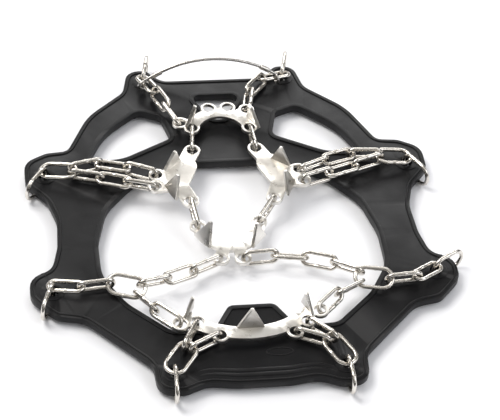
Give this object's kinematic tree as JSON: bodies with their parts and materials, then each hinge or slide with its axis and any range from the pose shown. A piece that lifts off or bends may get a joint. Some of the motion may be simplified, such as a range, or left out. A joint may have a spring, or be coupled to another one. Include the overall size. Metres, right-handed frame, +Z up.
{
  "type": "shoe ice cleats",
  "caption": "Slip-on ice cleat for a shoe: a stretch rubber harness carries steel chain and toothed steel plates under the sole for grip on ice.",
  "frame": {"origin": "middle of the cleat's footprint at ground level, where the lug rings rest", "axes": "+Z up, spikes up; +Y toward the toe; +X to the right"},
  "size_m": [0.2032, 0.2276, 0.0237],
  "materials": {
    "harness_rubber": "moulded satin black rubber",
    "chain_steel": "bright nickel-plated round wire",
    "plate_steel": "stamped stainless sheet with a fine grain",
    "cable_steel": "thin twisted steel wire rope"
  },
  "bodies": {
    "rubber_harness": {"rubber_harness": "harness_rubber"},
    "toe_cable": {"toe_cable": "cable_steel"},
    "front_plate": {"front_plate": "plate_steel"},
    "left_plate": {"left_plate": "plate_steel"},
    "right_plate": {"right_plate": "plate_steel"},
    "rear_plate": {"rear_plate": "plate_steel"},
    "heel_plate": {"heel_plate": "plate_steel"},
    "plate_link_front_left": {"plate_link_front_left": "chain_steel"},
    "plate_link_front_right": {"plate_link_front_right": "chain_steel"},
    "plate_link_rear_left": {"plate_link_rear_left": "chain_steel"},
    "plate_link_rear_right": {"plate_link_rear_right": "chain_steel"},
    "lug_ring_toe_left": {"lug_ring_toe_left": "chain_steel"},
    "lug_ring_toe_right": {"lug_ring_toe_right": "chain_steel"},
    "lug_ring_forefoot_left": {"lug_ring_forefoot_left": "chain_steel"},
    "lug_ring_forefoot_right": {"lug_ring_forefoot_right": "chain_steel"},
    "lug_ring_midfoot_left": {"lug_ring_midfoot_left": "chain_steel"},
    "lug_ring_midfoot_right": {"lug_ring_midfoot_right": "chain_steel"},
    "lug_ring_heel_left": {"lug_ring_heel_left": "chain_steel"},
    "lug_ring_heel_right": {"lug_ring_heel_right": "chain_steel"},
    "toe_left_link_1": {"toe_left_link_1": "chain_steel"},
    "toe_left_link_2": {"toe_left_link_2": "chain_steel"},
    "toe_left_link_3": {"toe_left_link_3": "chain_steel"},
    "toe_right_link_1": {"toe_right_link_1": "chain_steel"},
    "toe_right_link_2": {"toe_right_link_2": "chain_steel"},
    "toe_right_link_3": {"toe_right_link_3": "chain_steel"},
    "forefoot_left_fork": {"forefoot_left_fork": "chain_steel"},
    "forefoot_left_front_strand": {"forefoot_left_front_strand": "chain_steel"},
    "forefoot_left_back_strand": {"forefoot_left_back_strand": "chain_steel"},
    "forefoot_right_fork": {"forefoot_right_fork": "chain_steel"},
    "forefoot_right_front_strand": {"forefoot_right_front_strand": "chain_steel"},
    "forefoot_right_back_strand": {"forefoot_right_back_strand": "chain_steel"},
    "midfoot_left_link_1": {"midfoot_left_link_1": "chain_steel"},
    "midfoot_left_link_2": {"midfoot_left_link_2": "chain_steel"},
    "midfoot_left_fork": {"midfoot_left_fork": "chain_steel"},
    "midfoot_left_rear_link_1": {"midfoot_left_rear_link_1": "chain_steel"},
    "midfoot_left_rear_link_2": {"midfoot_left_rear_link_2": "chain_steel"},
    "midfoot_left_rear_link_3": {"midfoot_left_rear_link_3": "chain_steel"},
    "midfoot_left_heel_link_1": {"midfoot_left_heel_link_1": "chain_steel"},
    "midfoot_left_heel_link_2": {"midfoot_left_heel_link_2": "chain_steel"},
    "midfoot_right_link_1": {"midfoot_right_link_1": "chain_steel"},
    "midfoot_right_link_2": {"midfoot_right_link_2": "chain_steel"},
    "midfoot_right_fork": {"midfoot_right_fork": "chain_steel"},
    "midfoot_right_rear_link_1": {"midfoot_right_rear_link_1": "chain_steel"},
    "midfoot_right_rear_link_2": {"midfoot_right_rear_link_2": "chain_steel"},
    "midfoot_right_rear_link_3": {"midfoot_right_rear_link_3": "chain_steel"},
    "midfoot_right_rear_link_4": {"midfoot_right_rear_link_4": "chain_steel"},
    "midfoot_right_heel_link_1": {"midfoot_right_heel_link_1": "chain_steel"},
    "midfoot_right_heel_link_2": {"midfoot_right_heel_link_2": "chain_steel"},
    "heel_left_fork": {"heel_left_fork": "chain_steel"},
    "heel_left_outer_link": {"heel_left_outer_link": "chain_steel"},
    "heel_left_inner_link": {"heel_left_inner_link": "chain_steel"},
    "heel_right_fork": {"heel_right_fork": "chain_steel"},
    "heel_right_outer_link": {"heel_right_outer_link": "chain_steel"},
    "heel_right_inner_link": {"heel_right_inner_link": "chain_steel"}
  },
  "joints": [
    {"name": "toe_cable_fold", "type": "hinge", "parent": "rubber_harness", "child": "toe_cable", "pos_m": [-0.03789, 0.09017, 0.00993], "axis": [0.9996, 0.0289, 0], "range_deg": [-20, 20]},
    {"name": "front_plate_rock", "type": "hinge", "parent": "rubber_harness", "child": "front_plate", "pos_m": [-0.01707, 0.05592, 0.0104], "axis": [0.9995, -0.0316, 0], "range_deg": [-1, 1]},
    {"name": "left_plate_rock", "type": "hinge", "parent": "rubber_harness", "child": "left_plate", "pos_m": [-0.01867, 0.03962, 0.0104], "axis": [-0.1286, -0.9917, 0], "range_deg": [-1, 1]},
    {"name": "right_plate_rock", "type": "hinge", "parent": "rubber_harness", "child": "right_plate", "pos_m": [0.01253, 0.03962, 0.0104], "axis": [0.1286, -0.9917, 0], "range_deg": [-1, 1]},
    {"name": "rear_plate_rock", "type": "hinge", "parent": "rubber_harness", "child": "rear_plate", "pos_m": [-0.02107, -0.00858, 0.007], "axis": [0.9992, 0.0411, 0], "range_deg": [-1, 1]},
    {"name": "heel_plate_rock", "type": "hinge", "parent": "rubber_harness", "child": "heel_plate", "pos_m": [-0.03607, -0.07318, 0.0104], "axis": [0.9981, 0.0611, 0], "range_deg": [-1, 1]},
    {"name": "plate_link_front_left_roll", "type": "hinge", "parent": "rubber_harness", "child": "plate_link_front_left", "pos_m": [-0.01717, 0.05462, 0.0104], "axis": [-0.1017, -0.9948, 0], "range_deg": [-4, 4]},
    {"name": "plate_link_front_right_roll", "type": "hinge", "parent": "rubber_harness", "child": "plate_link_front_right", "pos_m": [0.01153, 0.05362, 0.0104], "axis": [0.0707, -0.9975, 0], "range_deg": [-4, 4]},
    {"name": "plate_link_rear_left_roll", "type": "hinge", "parent": "rubber_harness", "child": "plate_link_rear_left", "pos_m": [-0.02297, 0.00372, 0.0101], "axis": [0.1469, -0.9591, -0.2419], "range_deg": [-4, 4]},
    {"name": "plate_link_rear_right_roll", "type": "hinge", "parent": "rubber_harness", "child": "plate_link_rear_right", "pos_m": [0.01633, 0.00372, 0.0101], "axis": [-0.5784, -0.7866, -0.2159], "range_deg": [-4, 4]},
    {"name": "lug_ring_toe_left_swing", "type": "hinge", "parent": "rubber_harness", "child": "lug_ring_toe_left", "pos_m": [-0.03707, 0.09742, 0.0063], "axis": [0, 0, 1], "range_deg": [-6, 6]},
    {"name": "lug_ring_toe_right_swing", "type": "hinge", "parent": "rubber_harness", "child": "lug_ring_toe_right", "pos_m": [0.03393, 0.09742, 0.0063], "axis": [0, 0, 1], "range_deg": [-6, 6]},
    {"name": "lug_ring_forefoot_left_swing", "type": "hinge", "parent": "rubber_harness", "child": "lug_ring_forefoot_left", "pos_m": [-0.09057, 0.03142, 0.0063], "axis": [0, 0, 1], "range_deg": [-6, 6]},
    {"name": "lug_ring_forefoot_right_swing", "type": "hinge", "parent": "rubber_harness", "child": "lug_ring_forefoot_right", "pos_m": [0.08643, 0.03072, 0.0063], "axis": [0, 0, 1], "range_deg": [-6, 6]},
    {"name": "lug_ring_midfoot_left_swing", "type": "hinge", "parent": "rubber_harness", "child": "lug_ring_midfoot_left", "pos_m": [-0.09137, -0.04488, 0.0063], "axis": [0, 0, 1], "range_deg": [-6, 6]},
    {"name": "lug_ring_midfoot_right_swing", "type": "hinge", "parent": "rubber_harness", "child": "lug_ring_midfoot_right", "pos_m": [0.08693, -0.04308, 0.0063], "axis": [0, 0, 1], "range_deg": [-6, 6]},
    {"name": "lug_ring_heel_left_swing", "type": "hinge", "parent": "rubber_harness", "child": "lug_ring_heel_left", "pos_m": [-0.04107, -0.09708, 0.0063], "axis": [0, 0, 1], "range_deg": [-6, 6]},
    {"name": "lug_ring_heel_right_swing", "type": "hinge", "parent": "rubber_harness", "child": "lug_ring_heel_right", "pos_m": [0.03593, -0.09708, 0.0063], "axis": [0, 0, 1], "range_deg": [-6, 6]},
    {"name": "toe_left_link_1_roll", "type": "hinge", "parent": "rubber_harness", "child": "toe_left_link_1", "pos_m": [-0.03773, 0.09736, 0.0084], "axis": [0.3822, -0.9162, 0.1208], "range_deg": [-4, 4]},
    {"name": "toe_left_link_2_roll", "type": "hinge", "parent": "rubber_harness", "child": "toe_left_link_2", "pos_m": [-0.03267, 0.08522, 0.01], "axis": [0.3398, -0.9381, 0.0665], "range_deg": [-4, 4]},
    {"name": "toe_left_link_3_roll", "type": "hinge", "parent": "rubber_harness", "child": "toe_left_link_3", "pos_m": [-0.02807, 0.07252, 0.0109], "axis": [0.378, -0.9249, -0.0402], "range_deg": [-4, 4]},
    {"name": "toe_right_link_1_roll", "type": "hinge", "parent": "rubber_harness", "child": "toe_right_link_1", "pos_m": [0.03478, 0.09661, 0.0084], "axis": [-0.9501, -0.3006, 0.0837], "range_deg": [-4, 4]},
    {"name": "toe_right_link_2_roll", "type": "hinge", "parent": "rubber_harness", "child": "toe_right_link_2", "pos_m": [0.02343, 0.09302, 0.0094], "axis": [-0.6188, -0.7843, 0.0432], "range_deg": [-4, 4]},
    {"name": "toe_right_link_3_roll", "type": "hinge", "parent": "rubber_harness", "child": "toe_right_link_3", "pos_m": [0.01483, 0.08212, 0.01], "axis": [-0.2294, -0.9728, 0.0316], "range_deg": [-4, 4]},
    {"name": "forefoot_left_fork_roll", "type": "hinge", "parent": "rubber_harness", "child": "forefoot_left_fork", "pos_m": [-0.09103, 0.03272, 0.0084], "axis": [0.9545, -0.264, 0.1387], "range_deg": [-3.5, 3.5]},
    {"name": "forefoot_left_front_strand_roll", "type": "hinge", "parent": "rubber_harness", "child": "forefoot_left_front_strand", "pos_m": [-0.07727, 0.03062, 0.0104], "axis": [0.9864, -0.1644, 0], "range_deg": [-3, 3]},
    {"name": "forefoot_left_back_strand_roll", "type": "hinge", "parent": "rubber_harness", "child": "forefoot_left_back_strand", "pos_m": [-0.07777, 0.02732, 0.0104], "axis": [0.9588, -0.2841, 0], "range_deg": [-3, 3]},
    {"name": "forefoot_right_fork_roll", "type": "hinge", "parent": "rubber_harness", "child": "forefoot_right_fork", "pos_m": [0.087, 0.03198, 0.0084], "axis": [-0.9892, -0.0581, 0.1348], "range_deg": [-3.5, 3.5]},
    {"name": "forefoot_right_front_strand_roll", "type": "hinge", "parent": "rubber_harness", "child": "forefoot_right_front_strand", "pos_m": [0.07233, 0.03282, 0.0104], "axis": [-0.9772, -0.2122, 0], "range_deg": [-3, 3]},
    {"name": "forefoot_right_back_strand_roll", "type": "hinge", "parent": "rubber_harness", "child": "forefoot_right_back_strand", "pos_m": [0.07273, 0.02952, 0.0104], "axis": [-0.9455, -0.3257, 0], "range_deg": [-3, 3]},
    {"name": "midfoot_left_link_1_roll", "type": "hinge", "parent": "rubber_harness", "child": "midfoot_left_link_1", "pos_m": [-0.0921, -0.04339, 0.0084], "axis": [0.9531, -0.2661, 0.1441], "range_deg": [-4, 4]},
    {"name": "midfoot_left_link_2_roll", "type": "hinge", "parent": "rubber_harness", "child": "midfoot_left_link_2", "pos_m": [-0.07887, -0.04708, 0.0104], "axis": [0.9941, 0.1081, 0], "range_deg": [-4, 4]},
    {"name": "midfoot_left_fork_roll", "type": "hinge", "parent": "rubber_harness", "child": "midfoot_left_fork", "pos_m": [-0.06507, -0.04558, 0.0104], "axis": [0.959, -0.278, -0.0556], "range_deg": [-3.5, 3.5]},
    {"name": "midfoot_left_rear_link_1_roll", "type": "hinge", "parent": "rubber_harness", "child": "midfoot_left_rear_link_1", "pos_m": [-0.05147, -0.04728, 0.0107], "axis": [0.9212, 0.3436, -0.1828], "range_deg": [-4, 4]},
    {"name": "midfoot_left_rear_link_2_roll", "type": "hinge", "parent": "rubber_harness", "child": "midfoot_left_rear_link_2", "pos_m": [-0.03887, -0.04258, 0.0082], "axis": [0.9087, 0.4111, -0.0721], "range_deg": [-4, 4]},
    {"name": "midfoot_left_rear_link_3_roll", "type": "hinge", "parent": "rubber_harness", "child": "midfoot_left_rear_link_3", "pos_m": [-0.02627, -0.03688, 0.0072], "axis": [0.9029, 0.4296, -0.0146], "range_deg": [-4, 4]},
    {"name": "midfoot_left_heel_link_1_roll", "type": "hinge", "parent": "rubber_harness", "child": "midfoot_left_heel_link_1", "pos_m": [-0.05307, -0.05188, 0.0081], "axis": [0.4936, -0.8496, 0.1861], "range_deg": [-4, 4]},
    {"name": "midfoot_left_heel_link_2_roll", "type": "hinge", "parent": "rubber_harness", "child": "midfoot_left_heel_link_2", "pos_m": [-0.04697, -0.06238, 0.0104], "axis": [0.7035, -0.7107, 0], "range_deg": [-4, 4]},
    {"name": "midfoot_right_link_1_roll", "type": "hinge", "parent": "rubber_harness", "child": "midfoot_right_link_1", "pos_m": [0.08686, -0.043, 0.0084], "axis": [-0.8029, -0.5759, 0.154], "range_deg": [-4, 4]},
    {"name": "midfoot_right_link_2_roll", "type": "hinge", "parent": "rubber_harness", "child": "midfoot_right_link_2", "pos_m": [0.07643, -0.05048, 0.0104], "axis": [-0.9967, -0.0806, 0], "range_deg": [-4, 4]},
    {"name": "midfoot_right_fork_roll", "type": "hinge", "parent": "rubber_harness", "child": "midfoot_right_fork", "pos_m": [0.06283, -0.05158, 0.0104], "axis": [-0.9774, 0.2094, -0.0279], "range_deg": [-3.5, 3.5]},
    {"name": "midfoot_right_rear_link_1_roll", "type": "hinge", "parent": "rubber_harness", "child": "midfoot_right_rear_link_1", "pos_m": [0.05003, -0.04638, 0.0111], "axis": [-0.7711, 0.6069, -0.1928], "range_deg": [-4, 4]},
    {"name": "midfoot_right_rear_link_2_roll", "type": "hinge", "parent": "rubber_harness", "child": "midfoot_right_rear_link_2", "pos_m": [0.03923, -0.03788, 0.0084], "axis": [-0.9128, 0.3993, -0.0856], "range_deg": [-4, 4]},
    {"name": "midfoot_right_rear_link_3_roll", "type": "hinge", "parent": "rubber_harness", "child": "midfoot_right_rear_link_3", "pos_m": [0.02643, -0.03228, 0.0072], "axis": [-0.9849, 0.1725, -0.0144], "range_deg": [-4, 4]},
    {"name": "midfoot_right_rear_link_4_roll", "type": "hinge", "parent": "rubber_harness", "child": "midfoot_right_rear_link_4", "pos_m": [0.01273, -0.02988, 0.007], "axis": [-0.9973, -0.0728, 0], "range_deg": [-4, 4]},
    {"name": "midfoot_right_heel_link_1_roll", "type": "hinge", "parent": "rubber_harness", "child": "midfoot_right_heel_link_1", "pos_m": [0.04933, -0.05108, 0.0086], "axis": [-0.8193, -0.5583, 0.1305], "range_deg": [-4, 4]},
    {"name": "midfoot_right_heel_link_2_roll", "type": "hinge", "parent": "rubber_harness", "child": "midfoot_right_heel_link_2", "pos_m": [0.03803, -0.05878, 0.0104], "axis": [-0.7071, -0.7071, 0], "range_deg": [-4, 4]},
    {"name": "heel_left_fork_roll", "type": "hinge", "parent": "rubber_harness", "child": "heel_left_fork", "pos_m": [-0.04173, -0.09684, 0.0084], "axis": [0.6111, 0.7758, 0.1574], "range_deg": [-3.5, 3.5]},
    {"name": "heel_left_outer_link_roll", "type": "hinge", "parent": "rubber_harness", "child": "heel_left_outer_link", "pos_m": [-0.03557, -0.08568, 0.0104], "axis": [0.471, 0.8821, 0], "range_deg": [-4, 4]},
    {"name": "heel_left_inner_link_roll", "type": "hinge", "parent": "rubber_harness", "child": "heel_left_inner_link", "pos_m": [-0.03227, -0.08808, 0.0104], "axis": [0.8824, 0.4706, 0], "range_deg": [-4, 4]},
    {"name": "heel_right_fork_roll", "type": "hinge", "parent": "rubber_harness", "child": "heel_right_fork", "pos_m": [0.03651, -0.0969, 0.0084], "axis": [-0.527, 0.8346, 0.1603], "range_deg": [-3.5, 3.5]},
    {"name": "heel_right_outer_link_roll", "type": "hinge", "parent": "rubber_harness", "child": "heel_right_outer_link", "pos_m": [0.03153, -0.08528, 0.0104], "axis": [-0.7071, 0.7071, 0], "range_deg": [-4, 4]},
    {"name": "heel_right_inner_link_roll", "type": "hinge", "parent": "rubber_harness", "child": "heel_right_inner_link", "pos_m": [0.02803, -0.08738, 0.0104], "axis": [-0.906, 0.4233, 0], "range_deg": [-4, 4]}
  ]
}
